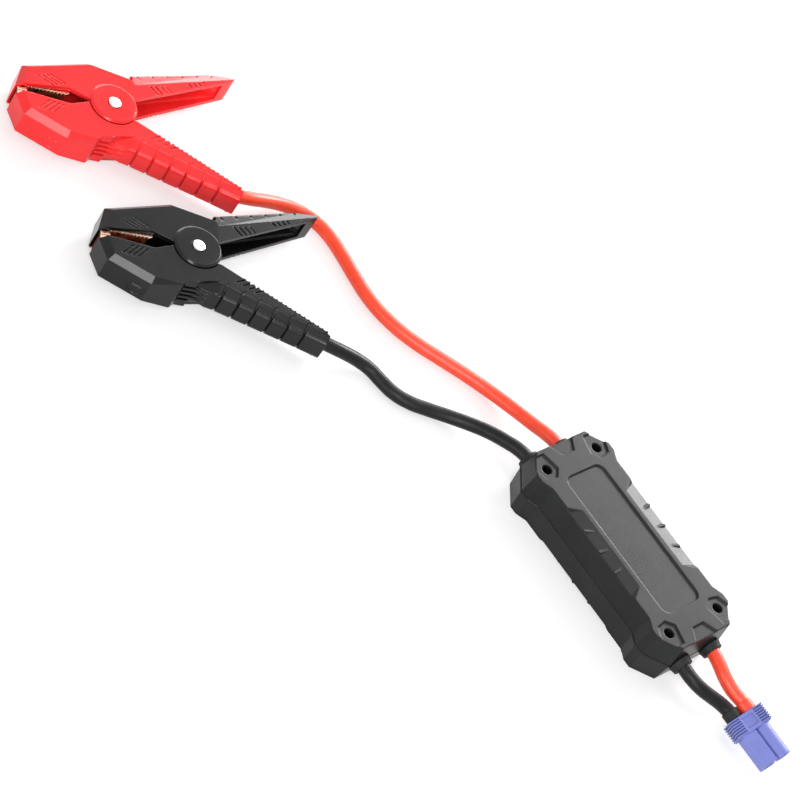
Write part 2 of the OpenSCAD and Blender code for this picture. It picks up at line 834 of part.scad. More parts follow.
half_l = box_len / 2;
half_w = box_w / 2;
block_end = half_l - corner_x;
block_start = block_end - 5.3;
side_start = block_start - 5.5;

// Outline at the parting line, shifted inwards by d
function box_outline(d) = let (w = half_w - d, l = half_l - d, k = d * 0.42, s = half_w - side_step - d) [
    [l, corner_y - half_w + k], [l, half_w - corner_y - k], [block_end - k, w], [block_start + k, w],
    [side_start + k, s], [-side_start - k, s], [-block_start - k, w], [k - block_end, w],
    [-l, half_w - corner_y - k], [-l, corner_y - half_w + k], [k - block_end, -w], [-block_start - k, -w],
    [-side_start - k, -s], [side_start + k, -s], [block_start + k, -w], [block_end - k, -w]
];

module at_screws() {
    for (x = [-1, 1], y = [-1, 1]) translate([x * screw_x / 2, y * screw_y / 2, 0]) children();
}

// The waist's long sides, cut down in a slant
module waist_cut() {
    waist_end = waist_len / 2;
    edge = half_w - side_step;
    for (s = [0, 180]) rotate([0, 0, s]) hull() {
        translate([0, 0, parting_z]) linear_extrude(over) polygon([
            [-waist_end, waist_w / 2], [waist_end, waist_w / 2],
            [waist_end + 7.5, half_w], [-waist_end - 7.5, half_w]
        ]);
        translate([0, 0, parting_z - waist_drop]) linear_extrude(0.1) polygon([
            [-waist_end - 3, edge - 0.4], [waist_end + 3, edge - 0.4],
            [waist_end + 5, half_w], [-waist_end - 5, half_w]
        ]);
    }
}

// Three wedge fins that fan out on each side of the waist
module waist_fins() {
    reach = half_w - side_step - box_draft * 0.8 - waist_w / 2;
    root = 2;
    fan = 16;
    lean = 6;
    for (s = [0, 180], i = [-1 : 1])
        rotate([0, 0, s])
            translate([i * fin_pitch, waist_w / 2, 0])
                rotate([90, 0, 90 - lean - i * fan])
                    linear_extrude(fin_t, center = true)
                        polygon([
                            [-root, parting_z - 2 * waist_drop], [reach, parting_z - 2 * waist_drop],
                            [reach, parting_z - waist_drop / 3], [-root, parting_z - 0.2]
                        ]);
}

// Prism between an outline round the middle and its inset copy above it
module drafted(low, high, h) {
    n = len(low);
    points = concat(
        [for (p = low) [p[0], p[1], 0]],
        [for (p = high) [p[0], p[1], h]],
        [[0, 0, 0], [0, 0, h]]
    );
    faces = [
        for (i = [0 : n - 1])
            let (j = (i + 1) % n)
            each [[i, i + n, j], [j, i + n, j + n], [2 * n, i, j], [2 * n + 1, j + n, i + n]]
    ];
    polyhedron(points, faces);
}

// One moulded half, open side at z = 0 and outer face up
module box_half() {
    floor_z = parting_z - box_wall;
    post_d = screw_hole_d + 3.4;
    difference() {
        union() {
            difference() {
                drafted(box_outline(0), box_outline(box_draft), parting_z);
                waist_cut();
            }
            waist_fins();
        }
        difference() {
            translate([0, 0, -over]) linear_extrude(floor_z + over) intersection() {
                polygon(box_outline(box_wall + box_draft));
                square([box_len, waist_w + 1.5 * box_wall], center = true);
            }
            at_screws() translate([0, 0, -2 * over]) cylinder(d = post_d, h = parting_z);
        }
        for (x = [-1, 1], y = [-1, 1])
            translate([x * half_l, y * lead_pitch / 2, 0])
                rotate([0, 90, 0]) {
                    cylinder(d = collar_d + 0.2, h = 6 * box_wall, center = true);
                    cylinder(d = lead_d + 0.8, h = 2 * (half_l - lead_end), center = true);
                }
    }
}

module rounded_plate(l, w, r, h) {
    linear_extrude(h) union() {
        square([l - 2 * r, w], center = true);
        square([l, w - 2 * r], center = true);
        for (x = [-1, 1], y = [-1, 1]) translate([x * (l / 2 - r), y * (w / 2 - r)]) circle(r);
    }
}

// Five-sided pocket round a screw hole, open to the corner
module screw_pocket() {
    reach = screw_hole_d * 1.15;
    linear_extrude(recess + over) polygon([
        [-reach, -reach * 0.3], [-reach * 0.3, -reach], [reach * 1.3, -reach * 0.6],
        [reach * 1.3, reach * 0.6], [reach * 0.4, reach * 1.2], [-reach * 0.8, reach * 0.7]
    ]);
}

module end_notch() {
    depth = 7;
    mouth = 16;
    linear_extrude(recess + over) polygon([
        [-depth, -mouth / 4], [depth, -mouth / 2 - 4], [depth, mouth / 2 + 4], [-depth, mouth / 4]
    ]);
}

module box_upper_shell() {
    sunk = parting_z - recess;
    hole_floor = 5;
    color("#454545") at_box() translate([0, 0, parting_z]) difference() {
        box_half();
        translate([0, 0, sunk]) rounded_plate(panel_len, panel_w, 4.5, recess + over);
        for (x = [0, 1], y = [0, 1])
            mirror([x, 0, 0])
                mirror([0, y, 0])
                    translate([screw_x / 2, screw_y / 2, sunk])
                        screw_pocket();
        for (x = [0, 1]) mirror([x, 0, 0]) translate([half_l - box_draft, 0, sunk]) end_notch();
        at_screws() translate([0, 0, hole_floor]) cylinder(d = screw_hole_d, h = parting_z);
        at_screws() translate([0, 0, -over]) cylinder(d = box_screw_d() + 0.4, h = parting_z);
    }
}

function box_screw_d() = 3;
function board_z() = 8;

module box_lower_shell() {
    pilot = 10;
    post_d = 6;
    color("#3c3c3c") at_box() difference() {
        union() {
            translate([0, 0, parting_z]) mirror([0, 0, 1]) box_half();
            at_board_posts() cylinder(d = post_d, h = board_z() - box_wall + over);
        }
        at_screws() translate([0, 0, parting_z - pilot]) cylinder(d = box_screw_d() + 0.1, h = pilot + over);
    }
}

// Posts under the circuit board's corners
module at_board_posts() {
    for (x = [-1, 1], y = [-1, 1])
        translate([x * (board_len / 2 - 4), y * (waist_w / 2 - 5), box_wall - over])
            children();
}

module box_screws() {
    head_h = 2;
    tip = 9;
    color("silver") at_box() at_screws() translate([0, 0, parting_z]) {
        translate([0, 0, 5]) difference() {
            cylinder(d = screw_hole_d - 0.3, h = head_h);
            for (a = [0, 90]) rotate([0, 0, a]) translate([-0.4, -1.6, head_h - 0.9]) cube([0.8, 3.2, over]);
        }
        translate([0, 0, -tip]) cylinder(d = box_screw_d(), h = tip + 5 + over);
    }
}

board_t = 1.6;

module circuit_board() {
    color("darkgreen") at_box() translate([0, 0, board_z()])
        linear_extrude(board_t) square([board_len, board_w], center = true);
}

// Two power relays side by side on the board
module relays() {
    relay = [board_len / 4.2, board_w * 3 / 8, box_h * 3 / 8];
    color("black") at_box() for (y = [-1, 1])
        translate([-relay[0] / 2, y * (relay[1] / 2 + 0.6) - relay[1] / 2, board_z() + board_t])
            cube(relay);
}

// Copper blocks that the four leads end in
module lead_terminals() {
    block = [lead_d + 3, lead_d + 2, lead_d + 1];
    stop = lead_end - block[0];
    color("peru") at_box() for (x = [0, 1], y = [-1, 1])
        mirror([x, 0, 0])
            translate([stop, y * lead_pitch / 2 - block[1] / 2, board_z() + board_t])
                cube(block);
}

// Rubber collar in the box's end wall, with a lip on each side
module collar(reach) {
    lip = 0.6;
    seat = box_wall + box_draft;
    translate([half_l, 0, parting_z]) rotate([0, 90, 0]) difference() {
        union() {
            translate([0, 0, -seat]) cylinder(d = collar_d, h = seat + reach);
            translate([0, 0, 0.15]) cylinder(d1 = collar_d + 2 * lip, d2 = collar_d - lip, h = reach);
        }
        translate([0, 0, -far / 2]) cylinder(d = lead_d + 2 * lead_fit, h = far);
    }
}

module clamp_end_collars() {
    color("#202020") at_box() for (y = [-1, 1])
        mirror([1, 0, 0]) translate([0, y * lead_pitch / 2, 0]) collar(2.4);
}

module plug_end_collars() {
    color("#202020") at_box() for (y = [-1, 1]) translate([0, y * lead_pitch / 2, 0]) collar(3.6);
}

// Leads

lead_sides = 10;

module red_clamp_lead() {
    color("#f0552f") tube(red_route, lead_d, lead_sides);
}

module black_clamp_lead() {
    color("#2b2b2b") tube(black_route, lead_d, lead_sides);
}

module red_plug_lead() {
    color("#f0552f") at_box() tube(red_tail, lead_d, lead_sides);
}

module black_plug_lead() {
    color("#2b2b2b") at_box() tube(black_tail, lead_d, lead_sides);
}

// Plug, drawn with its axis along X from the back of the grip

module plug_housing() {
    rib = 0.55;
    rib_count = 7;
    rib_pitch = grip_len / rib_count;
    panel = [5.4, 6.4];
    barrel_r = plug_t / 2 - 0.5;
    color("#7b7fc8") at_plug() difference() {
        union() {
            translate([0, rib - grip_w / 2, rib - plug_t / 2])
                cube([grip_len, grip_w - 2 * rib, plug_t - 2 * rib]);
            for (i = [0 : rib_count - 1])
                translate([i * rib_pitch, -grip_w / 2, -plug_t / 2])
                    cube([rib_pitch * 0.55, grip_w, plug_t]);
            translate([0, -contact_pitch / 2, -plug_t / 2]) cube([grip_len, contact_pitch, plug_t]);
            translate([0, -contact_pitch / 2, 0]) square_barrel(barrel_r);
            translate([0, contact_pitch / 2, 0]) rotate([0, 90, 0]) cylinder(r = barrel_r, h = grip_len + nose_len);
        }
        for (s = [-1, 1]) translate([(grip_len - panel[0]) / 2, -panel[1] / 2, s * (plug_t / 2 + 0.2) - 0.6])
            cube([panel[0], panel[1], 1.2]);
        for (s = [-1, 1]) translate([-over, s * contact_pitch / 2, 0]) rotate([0, 90, 0])
            cylinder(d = contact_d + 0.1, h = far);
    }
}

module square_barrel(r) {
    trim = 1.2;
    rotate([90, 0, 90]) linear_extrude(grip_len + nose_len) polygon([
        [-r + trim, -r], [r - 0.3, -r], [r - 0.3, r], [-r + trim, r], [-r, r - trim], [-r, trim - r]
    ]);
}

module plug_contacts() {
    back = 2;
    front = 2.4;
    length = grip_len + nose_len - back - front;
    socket = 12;
    color("gold") at_plug() for (s = [-1, 1])
        translate([back, s * contact_pitch / 2, 0]) rotate([0, 90, 0]) difference() {
            cylinder(d = contact_d, h = length);
            translate([0, 0, length - socket]) cylinder(d = contact_bore, h = socket + over);
        }
}

// Shrink sleeves over the lead ends behind the plug
module plug_sleeves() {
    sleeve_len = 5;
    color("#303030") at_plug() for (s = [-1, 1])
        translate([-sleeve_len - 0.1, s * contact_pitch / 2, 0]) rotate([0, 90, 0]) difference() {
            cylinder(d = contact_pitch - 0.3, h = sleeve_len);
            translate([0, 0, -over]) cylinder(d = lead_d + 2 * lead_fit, h = sleeve_len + 2 * over);
        }
}

color("#e8393b") at_clamp(red_pivot) cable_shell(true);  // red_cable_shell
color("#f04446") at_clamp(red_pivot) moving_shell();  // red_moving_shell
at_clamp(red_pivot) rivet();  // red_rivet
at_clamp(red_pivot) bush();  // red_bush
at_clamp(red_pivot) spring();  // red_spring
at_clamp(red_pivot) upper_jaw();  // red_upper_jaw
at_clamp(red_pivot) lower_jaw();  // red_lower_jaw
at_clamp(red_pivot) upper_jaw_screw();  // red_upper_jaw_screw
at_clamp(red_pivot) lower_jaw_screw();  // red_lower_jaw_screw
at_clamp(red_pivot) lug();  // red_lug
at_clamp(red_pivot) cable_clip("#e8393b");  // red_cable_clip
color("#333333") at_clamp(black_pivot) cable_shell(false);  // black_cable_shell
color("#3a3a3a") at_clamp(black_pivot) moving_shell();  // black_moving_shell
at_clamp(black_pivot) rivet();  // black_rivet
at_clamp(black_pivot) bush();  // black_bush
at_clamp(black_pivot) spring();  // black_spring
at_clamp(black_pivot) upper_jaw();  // black_upper_jaw
at_clamp(black_pivot) lower_jaw();  // black_lower_jaw
at_clamp(black_pivot) upper_jaw_screw();  // black_upper_jaw_screw
at_clamp(black_pivot) lower_jaw_screw();  // black_lower_jaw_screw
at_clamp(black_pivot) lug();  // black_lug
at_clamp(black_pivot) cable_clip("#333333");  // black_cable_clip
box_upper_shell();
box_lower_shell();
box_screws();
circuit_board();
relays();
lead_terminals();
clamp_end_collars();
plug_end_collars();
red_clamp_lead();
black_clamp_lead();
red_plug_lead();
black_plug_lead();
plug_housing();
plug_contacts();
plug_sleeves();
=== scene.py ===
"""Looks of a jumper clamp set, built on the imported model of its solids."""

import json
import math

import bmesh
import bpy
import numpy as np
from bpy.props import FloatProperty, FloatVectorProperty, IntProperty, PointerProperty
from mathutils import Matrix, Vector


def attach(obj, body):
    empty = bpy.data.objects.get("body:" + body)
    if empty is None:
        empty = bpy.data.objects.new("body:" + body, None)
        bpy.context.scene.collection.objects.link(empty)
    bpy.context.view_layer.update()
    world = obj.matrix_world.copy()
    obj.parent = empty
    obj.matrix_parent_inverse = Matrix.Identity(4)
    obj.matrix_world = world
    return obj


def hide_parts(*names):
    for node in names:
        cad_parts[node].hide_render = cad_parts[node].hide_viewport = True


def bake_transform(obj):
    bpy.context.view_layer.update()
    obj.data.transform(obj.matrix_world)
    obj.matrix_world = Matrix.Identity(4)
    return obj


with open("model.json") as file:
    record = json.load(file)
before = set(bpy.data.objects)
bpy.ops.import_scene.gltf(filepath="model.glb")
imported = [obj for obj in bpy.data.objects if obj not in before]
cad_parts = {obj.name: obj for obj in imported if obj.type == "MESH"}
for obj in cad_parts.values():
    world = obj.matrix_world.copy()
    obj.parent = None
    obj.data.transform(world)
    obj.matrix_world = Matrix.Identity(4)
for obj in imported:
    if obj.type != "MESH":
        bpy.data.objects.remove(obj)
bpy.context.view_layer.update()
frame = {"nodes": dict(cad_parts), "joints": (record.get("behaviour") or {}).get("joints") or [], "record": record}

bl_info = {
    "name": "Jumper clamp set",
    "version": (1, 0, 0),
    "blender": (4, 5, 0),
    "location": "3D View > Sidebar > Clamp set",
    "description": "Builds the visible pieces of a jumper clamp set over its solids",
    "category": "Object",
}

MM = 0.001
COLOURS = ("red", "black")
PIVOT = {joint["name"].split("_")[0]: Vector(joint["pos_m"]) for joint in frame["joints"]}
FIXED = "set"
MOVING = {"red": "red_moving_half", "black": "black_moving_half"}

# Lead routes in millimetres, as the solids have them
RED_ROUTE = [
    (-209.3, 193, 11.5), (-200, 189.8, 11.5), (-192.3, 187.2, 11.5), (-185, 185, 11.5), (-179, 183.9, 11.5),
    (-173, 184, 11.2), (-167, 185, 10.2), (-159, 187.2, 8.2), (-150, 189, 6), (-140, 188.6, 4.2),
    (-131, 184.4, 3.5), (-124, 176.4, 3.5), (-118.4, 165.4, 3.5), (-113, 152.4, 3.5), (-107, 140, 3.5),
    (-98.4, 128.6, 3.5), (-86.6, 118.4, 3.5), (-73, 110.2, 3.5), (-60, 102.6, 3.5), (-48.4, 94.4, 4),
    (-38.4, 84, 6.4), (-30.8, 73, 10.2), (-25.6, 65.4, 13), (-22, 60.1, 14), (-12.5, 43.6, 14),
]
BLACK_ROUTE = [
    (-174.3, 112, 11.5), (-165, 108.8, 11.5), (-157.3, 106.2, 11.5), (-150, 103.8, 11.5), (-143, 101.6, 11.4),
    (-136, 99.8, 10.6), (-128, 99, 8.4), (-120.5, 98.2, 5.8), (-114, 95.4, 4.2), (-108.6, 90, 3.5),
    (-103, 84, 3.5), (-95, 79.6, 3.5), (-85, 77, 3.6), (-75, 74.2, 4.4), (-65, 70, 6.4),
    (-56.4, 64.6, 9.2), (-49.4, 58, 12.2), (-44.6, 53.4, 13.6), (-41, 49.1, 14), (-31.5, 32.6, 14),
]
# Short leads, in the control box's own frame
RED_TAIL = [
    (44, 11, 14), (64, 11, 14), (70, 10, 13.6), (77, 8.6, 12.6), (84, 8.8, 11.2), (90.5, 10.4, 10.3),
    (96.4, 10.5, 10.2),
]
BLACK_TAIL = [
    (44, -11, 14), (64, -11, 14), (71, -10.4, 13.4), (77, -7.8, 12), (82, -3.6, 10), (86.6, 0.4, 8),
    (91, 2.4, 7.1), (96.4, 2.5, 7),
]
# Heights in millimetres: a clamp's faces over its mid plane, then that plane and the box's parting line
# over the table
FACE, MID_PLANE, PARTING = 9.5, 11.5, 14.0
# Strips on the grips, from the pivot: root, end, run, drop, taper and edge radius in millimetres
STRIPS = {
    "cable": ((7.6, -24.1), (63.45, -43.1), 6.2, 4, 0, 3.4),
    "moving": ((12.1, 23.7), (69.06, 40.9), 7.6, 2.5, 2, 1.6),
}
# From the control box's own frame to the set's
BOX_TURN = Matrix.Rotation(math.radians(-60), 4, "Z")
# Remeshing: grains of the pieces that no property sizes, the welding distance, the share of faces kept
CLIP_GRAIN = COLLAR_GRAIN = 0.25 * MM
CONTACT_GRAIN, SLEEVE_GRAIN = 0.15 * MM, 0.2 * MM
WELD, FACES_KEPT = 0.002 * MM, 0.16


def linear(hex_colour):
    """A hex sRGB colour as linear RGB."""
    channels = [int(hex_colour[i:i + 2], 16) / 255 for i in (1, 3, 5)]
    return tuple(c / 12.92 if c <= 0.04045 else ((c + 0.055) / 1.055) ** 2.4 for c in channels)


class ClampSetLooks(bpy.types.PropertyGroup):
    """Sizes and colours of the clamp set."""

    clamp_edge: FloatProperty(
        name="Clamp edge", description="Grain that rounds the clamp halves' edges",
        default=0.2 * MM, unit="LENGTH")
    box_edge: FloatProperty(
        name="Box edge", description="Grain that rounds the control box's edges",
        default=0.3 * MM, unit="LENGTH")
    plug_edge: FloatProperty(
        name="Plug edge", description="Grain that rounds the plug's edges",
        default=0.12 * MM, unit="LENGTH")
    plate_edge: FloatProperty(
        name="Plate edge", description="Grain that rounds the jaw plates' edges",
        default=0.14 * MM, unit="LENGTH")
    lead_diameter: FloatProperty(
        name="Lead diameter", description="Outer diameter of the leads", default=7 * MM, unit="LENGTH")
    wire_diameter: FloatProperty(
        name="Spring wire", description="Diameter of the spring wire", default=1.6 * MM, unit="LENGTH")
    rib_pitch: FloatProperty(
        name="Rim rib spacing", description="Spacing of the fine ribs on the grips' rims", default=2.6 * MM,
        unit="LENGTH")
    rib_height: FloatProperty(
        name="Rim rib height", description="Height of the fine ribs on the grips' rims", default=0.6 * MM,
        unit="LENGTH")
    ring_sides: IntProperty(
        name="Ring sides", description="Sides of a turned or wound shape", default=32, min=8, max=96)
    red_plastic: FloatVectorProperty(
        name="Red plastic", description="Colour of the red clamp", default=linear("#F72A2C"),
        subtype="COLOR", size=3, min=0, max=1)
    black_plastic: FloatVectorProperty(
        name="Black plastic", description="Colour of the black clamp", default=linear("#0C0C0D"),
        subtype="COLOR", size=3, min=0, max=1)
    box_plastic: FloatVectorProperty(
        name="Box plastic", description="Colour of the control box", default=linear("#181919"),
        subtype="COLOR", size=3, min=0, max=1)
    red_silicone: FloatVectorProperty(
        name="Red silicone", description="Colour of the red leads", default=linear("#FF4624"),
        subtype="COLOR", size=3, min=0, max=1)
    black_silicone: FloatVectorProperty(
        name="Black silicone", description="Colour of the black leads", default=linear("#151516"),
        subtype="COLOR", size=3, min=0, max=1)
    plug_nylon: FloatVectorProperty(
        name="Plug nylon", description="Colour of the plug", default=linear("#7A82CC"),
        subtype="COLOR", size=3, min=0, max=1)


def looks():
    return bpy.context.scene.clamp_set_looks


# Materials


def put(tree, kind, inputs=(), links=(), **settings):
    """Adds a node with its settings, socket values and incoming links."""
    node = tree.nodes.new(kind)
    for key, value in settings.items():
        setattr(node, key, value)
    for key, value in dict(inputs).items():
        node.inputs[key].default_value = value
    for key, (source, socket) in dict(links).items():
        tree.links.new(source.outputs[socket], node.inputs[key])
    return node


def new_material(name):
    material = bpy.data.materials.new(name)
    material.use_nodes = True
    material.node_tree.nodes.clear()
    return material, material.node_tree


def close_material(tree, shader):
    put(tree, "ShaderNodeOutputMaterial", links={"Surface": (shader, 0)})


def noise(tree, vector, scale, detail, roughness):
    return put(tree, "ShaderNodeTexNoise", {"Scale": scale, "Detail": detail, "Roughness": roughness},
               {"Vector": vector})


def spread(tree, value, start, end, low, high):
    """The value's range from start to end, spread from low to high."""
    return put(tree, "ShaderNodeMapRange",
               {"From Min": start, "From Max": end, "To Min": low, "To Max": high}, {"Value": value})


def two_tone(tree, value, start, end, dark, light):
    """A colour that goes from dark to light while the value goes from start to end."""
    shade = put(tree, "ShaderNodeValToRGB", links={"Fac": value})
    for stop, position, colour in zip(shade.color_ramp.elements, (start, end), (dark, light)):
        stop.position = position
        stop.color = (*colour, 1)
    return shade


def crevice(tree, reach, low, high, clear, shut=0.2):
    """A value from low in narrow grooves, where the sky is shut out, to high where it is clear; multiplied into a
    colour or a shine, it is painted shade.
    """
    sky = put(tree, "ShaderNodeAmbientOcclusion", {"Distance": reach}, samples=8)
    return spread(tree, (sky, "AO"), shut, clear, low, high)


def shows_background(tree):
    """1 on the rays that show the background, straight, mirrored or through glass; 0 on those that light."""
    path = put(tree, "ShaderNodeLightPath")
    seen = put(tree, "ShaderNodeMath", links={0: (path, "Is Camera Ray"), 1: (path, "Is Glossy Ray")},
               operation="MAXIMUM")
    return put(tree, "ShaderNodeMath", links={0: (seen, 0), 1: (path, "Is Transmission Ray")},
               operation="MAXIMUM")


def moulded_plastic(name, colour, grain, roughness, depth=0.06, shine=0.3, groove=1.4, groove_shade=0.2, clear=0.7):
    """Plastic from a spark-eroded mould: a fine pebbled skin, glossier where hands rub it, with eased edges.

    Grooves narrower than groove, in millimetres, get painted shade from an occlusion test: their colour darkens
    down to the given share and their reflection fades.
    """
    sheen_spot, edge, groove_shine = 0.03, 0.4 * MM, 0.02
    material, tree = new_material(name)
    coords = put(tree, "ShaderNodeTexCoord")
    pebbles = noise(tree, (coords, "Object"), 1 / grain, 3.0, 0.6)
    rubbed = noise(tree, (coords, "Object"), 45.0, 4.0, 0.65)
    shade = two_tone(tree, (rubbed, "Fac"), 0.3, 0.72, [c * 0.86 for c in colour],
                     [min(1.0, c * 1.08 + 0.004) for c in colour])
    gloss = spread(tree, (rubbed, "Fac"), 0.25, 0.75, roughness - sheen_spot, roughness + sheen_spot)
    # Painted shade: narrow grooves darken the colour where shade would fall, not from dirt
    painted_groove_shade = crevice(tree, groove * MM, groove_shade, 1.0, clear)
    groove_shaded_colour = put(tree, "ShaderNodeVectorMath", links={"Vector": (shade, "Color"), "Scale": (painted_groove_shade, "Result")},
                 operation="SCALE")
    # Painted shade on the reflection: grooves lose their shine
    mirror = crevice(tree, groove * MM, groove_shine, shine, clear)
    eased = put(tree, "ShaderNodeBevel", {"Radius": edge}, samples=6)
    bump = put(tree, "ShaderNodeBump", {"Strength": depth, "Distance": grain},
               {"Height": (pebbles, "Fac"), "Normal": (eased, "Normal")})
    shader = put(tree, "ShaderNodeBsdfPrincipled", {"IOR": 1.5}, {
        "Base Color": (groove_shaded_colour, "Vector"), "Roughness": (gloss, "Result"), "Normal": (bump, "Normal"),
        "Specular IOR Level": (mirror, "Result")})
    close_material(tree, shader)
    return material


def silicone_sleeve(name, colour, shine):
    """Silicone rubber drawn over a stranded core: soft satin, faint waves where strands press through."""
    material, tree = new_material(name)
    coords = put(tree, "ShaderNodeTexCoord")
    waves = noise(tree, (coords, "Object"), 160.0, 2.0, 0.5)
    dust = noise(tree, (coords, "Object"), 900.0, 4.0, 0.7)
    shade = two_tone(tree, (waves, "Fac"), 0.3, 0.7, [c * 0.9 for c in colour],
                     [min(1.0, c * 1.07 + 0.003) for c in colour])
    gloss = spread(tree, (dust, "Fac"), 0.3, 0.7, 0.3, 0.42)
    bump = put(tree, "ShaderNodeBump", {"Strength": 0.12, "Distance": 0.6 * MM}, {"Height": (waves, "Fac")})
    shader = put(tree, "ShaderNodeBsdfPrincipled", {"IOR": 1.43, "Specular IOR Level": shine},
                 {"Base Color": (shade, "Color"), "Roughness": (gloss, "Result"), "Normal": (bump, "Normal")})
    close_material(tree, shader)
    return material


def stamped_metal(name, bright, dull, roughness, grain, stretch=(1, 1, 1), mouth_shade=None):
    """Metal from a press or a lathe: fine drawn lines and duller patches.

    With a dark colour given, it gets painted shade in that colour round the clamps' mid plane, inside the jaws'
    mouth, and keeps its own bright colour along its two edges.
    """
    # Painted shade of the jaws' mouth: full up to the first distance from the mid plane, gone beyond the second
    shade_to, unshaded_from = 5.0 * MM, 6.2 * MM
    material, tree = new_material(name)
    coords = put(tree, "ShaderNodeTexCoord")
    drawn = put(tree, "ShaderNodeMapping", {"Scale": stretch}, {"Vector": (coords, "Object")})
    lines = noise(tree, (drawn, "Vector"), 1 / grain, 3.0, 0.6)
    patches = noise(tree, (coords, "Object"), 220.0, 4.0, 0.65)
    shade = two_tone(tree, (patches, "Fac"), 0.32, 0.6, linear(dull), linear(bright))
    gloss = spread(tree, (lines, "Fac"), 0.3, 0.7, roughness * 0.75, roughness * 1.3)
    bump = put(tree, "ShaderNodeBump", {"Strength": 0.08, "Distance": grain}, {"Height": (lines, "Fac")})
    colour = (shade, "Color")
    # Painted shade: a brown band round the mid plane stands in for the shade inside the jaws' mouth
    if mouth_shade:
        place = put(tree, "ShaderNodeSeparateXYZ", links={"Vector": (coords, "Object")})
        level = put(tree, "ShaderNodeMath", {1: MID_PLANE * MM}, {0: (place, "Z")}, operation="SUBTRACT")
        away = put(tree, "ShaderNodeMath", links={0: (level, 0)}, operation="ABSOLUTE")
        outside_mouth = spread(tree, (away, 0), shade_to, unshaded_from, 0.0, 1.0)
        mixed = put(tree, "ShaderNodeMix", {6: (*linear(mouth_shade), 1)}, {0: (outside_mouth, "Result"), 7: colour},
                    data_type="RGBA")
        colour = (mixed, 2)
    shader = put(tree, "ShaderNodeBsdfPrincipled", {"Metallic": 1.0},
                 {"Base Color": colour, "Roughness": (gloss, "Result"), "Normal": (bump, "Normal")})
    close_material(tree, shader)
    return material


MATERIALS = {}


def make_materials():
    size = looks()
    # Every moulded plastic and rubber here gets painted shade in its narrow grooves
    MATERIALS.update({
        # Clamp halves: smooth glossy mouldings, with painted shade in their grooves and hatch lines; the skin is
        # drawn at 0.5 mm so that it shows at all
        "red_plastic": moulded_plastic("moulded_red_abs", tuple(size.red_plastic), 0.5 * MM, 0.22,
                                       groove_shade=0.35),
        "black_plastic": moulded_plastic("moulded_black_abs", tuple(size.black_plastic), 0.5 * MM, 0.22,
                                         clear=0.95),
        # Box: a duller, coarser eroded skin, drawn at 0.7 mm, with painted shade darkening its holes and seams
        "box_plastic": moulded_plastic("eroded_grey_abs", tuple(size.box_plastic), 0.7 * MM, 0.33, 0.08,
                                       shine=0.2, groove=5, groove_shade=0.1),
        # Plug: unpainted nylon, smooth and a little waxy, with painted shade between its ribs
        "blue_plastic": moulded_plastic("blue_nylon", tuple(size.plug_nylon), 0.9 * MM, 0.36, 0.03,
                                        groove=1.0, groove_shade=0.08, clear=0.95),
        # Leads: satin with one soft light line along their length
        "red_silicone": silicone_sleeve("red_silicone_sleeve", tuple(size.red_silicone), 0.7),
        "black_silicone": silicone_sleeve("black_silicone_sleeve", tuple(size.black_silicone), 0.25),
        # Collars and the black shrink sleeve: matt rubber with a dry bloom
        "black_rubber": moulded_plastic("matt_black_rubber", linear("#161617"), 0.6 * MM, 0.62, 0.1),
        # Jaw plates, their screws, lugs and terminals: bright toothed edges, with brown painted shade between them
        # round the clamps' mid plane
        "copper": stamped_metal("stamped_copper", "#FFE2CC", "#EBA578", 0.26, 0.35 * MM, (0.2, 1, 1),
                                mouth_shade="#6B2A10"),
        # Contacts: a warm gleam in the barrels
        "gold_brass": stamped_metal("gilt_brass", "#F0CF86", "#C79A4C", 0.25, 0.4 * MM),
        # Rivets: near white, with faint grey patches
        "bright_steel": stamped_metal("nickelled_steel", "#F1F1F2", "#C9CBCE", 0.22, 0.3 * MM),
        # Springs and box screws: dark and oily
        "spring_steel": stamped_metal("oiled_spring_steel", "#4A4B4E", "#2C2D30", 0.34, 0.3 * MM),
        # Inside: grey satin bushes, a green board, dull relay cases
        "bush_plastic": moulded_plastic("grey_acetal", linear("#8A8A88"), 0.6 * MM, 0.4),
        "board": moulded_plastic("green_board_mask", linear("#1F5A34"), 1.2 * MM, 0.35),
        "relay_plastic": moulded_plastic("black_relay_case", linear("#1E1F20"), 0.8 * MM, 0.45),
    })


# Shapes


def add_piece(name, shape, slot, body, replaced=()):
    """A finished piece from a mesh or an object: its material, its body and the solids that it stands for."""
    piece = shape if isinstance(shape, bpy.types.Object) else bpy.data.objects.new(name, shape)
    if piece.name not in bpy.context.scene.collection.objects:
        bpy.context.scene.collection.objects.link(piece)
    piece.data.materials.clear()
    piece.data.materials.append(MATERIALS[slot])
    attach(piece, body)
    if replaced:
        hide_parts(*replaced)
    return piece


def body_of(node):
    """The body that a clamp half or a jaw plate rides on."""
    colour, half, _ = node.split("_")
    return MOVING[colour] if half in ("moving", "upper") else FIXED


def finished_mesh(piece, name):
    """The piece's mesh with its modifiers applied; the working object is removed."""
    bpy.context.view_layer.update()
    graph = bpy.context.evaluated_depsgraph_get()
    mesh = bpy.data.meshes.new_from_object(piece.evaluated_get(graph))
    mesh.name = name
    bpy.data.objects.remove(piece)
    return mesh


def smooth(mesh, angle=32):
    for face in mesh.polygons:
        face.use_smooth = True
    mesh.set_sharp_from_angle(angle=math.radians(angle))


def refined(mesh, *steps):
    """The mesh after a row of modifiers, each given as its kind and settings."""
    work = bpy.data.objects.new(mesh.name, mesh)
    bpy.context.scene.collection.objects.link(work)
    for kind, settings in steps:
        modifier = work.modifiers.new(kind, kind)
        for key, value in settings.items():
            setattr(modifier, key, value)
    return finished_mesh(work, mesh.name)


def loose_solids(shape):
    """The vertices of each separate solid of a bmesh."""
    left = set(shape.verts)
    solids = []
    while left:
        front = [left.pop()]
        solid = list(front)
        while front:
            near = {edge.other_vert(v) for v in front for edge in v.link_edges} & left
            left -= near
            front = list(near)
            solid += front
        solids.append(solid)
    return solids


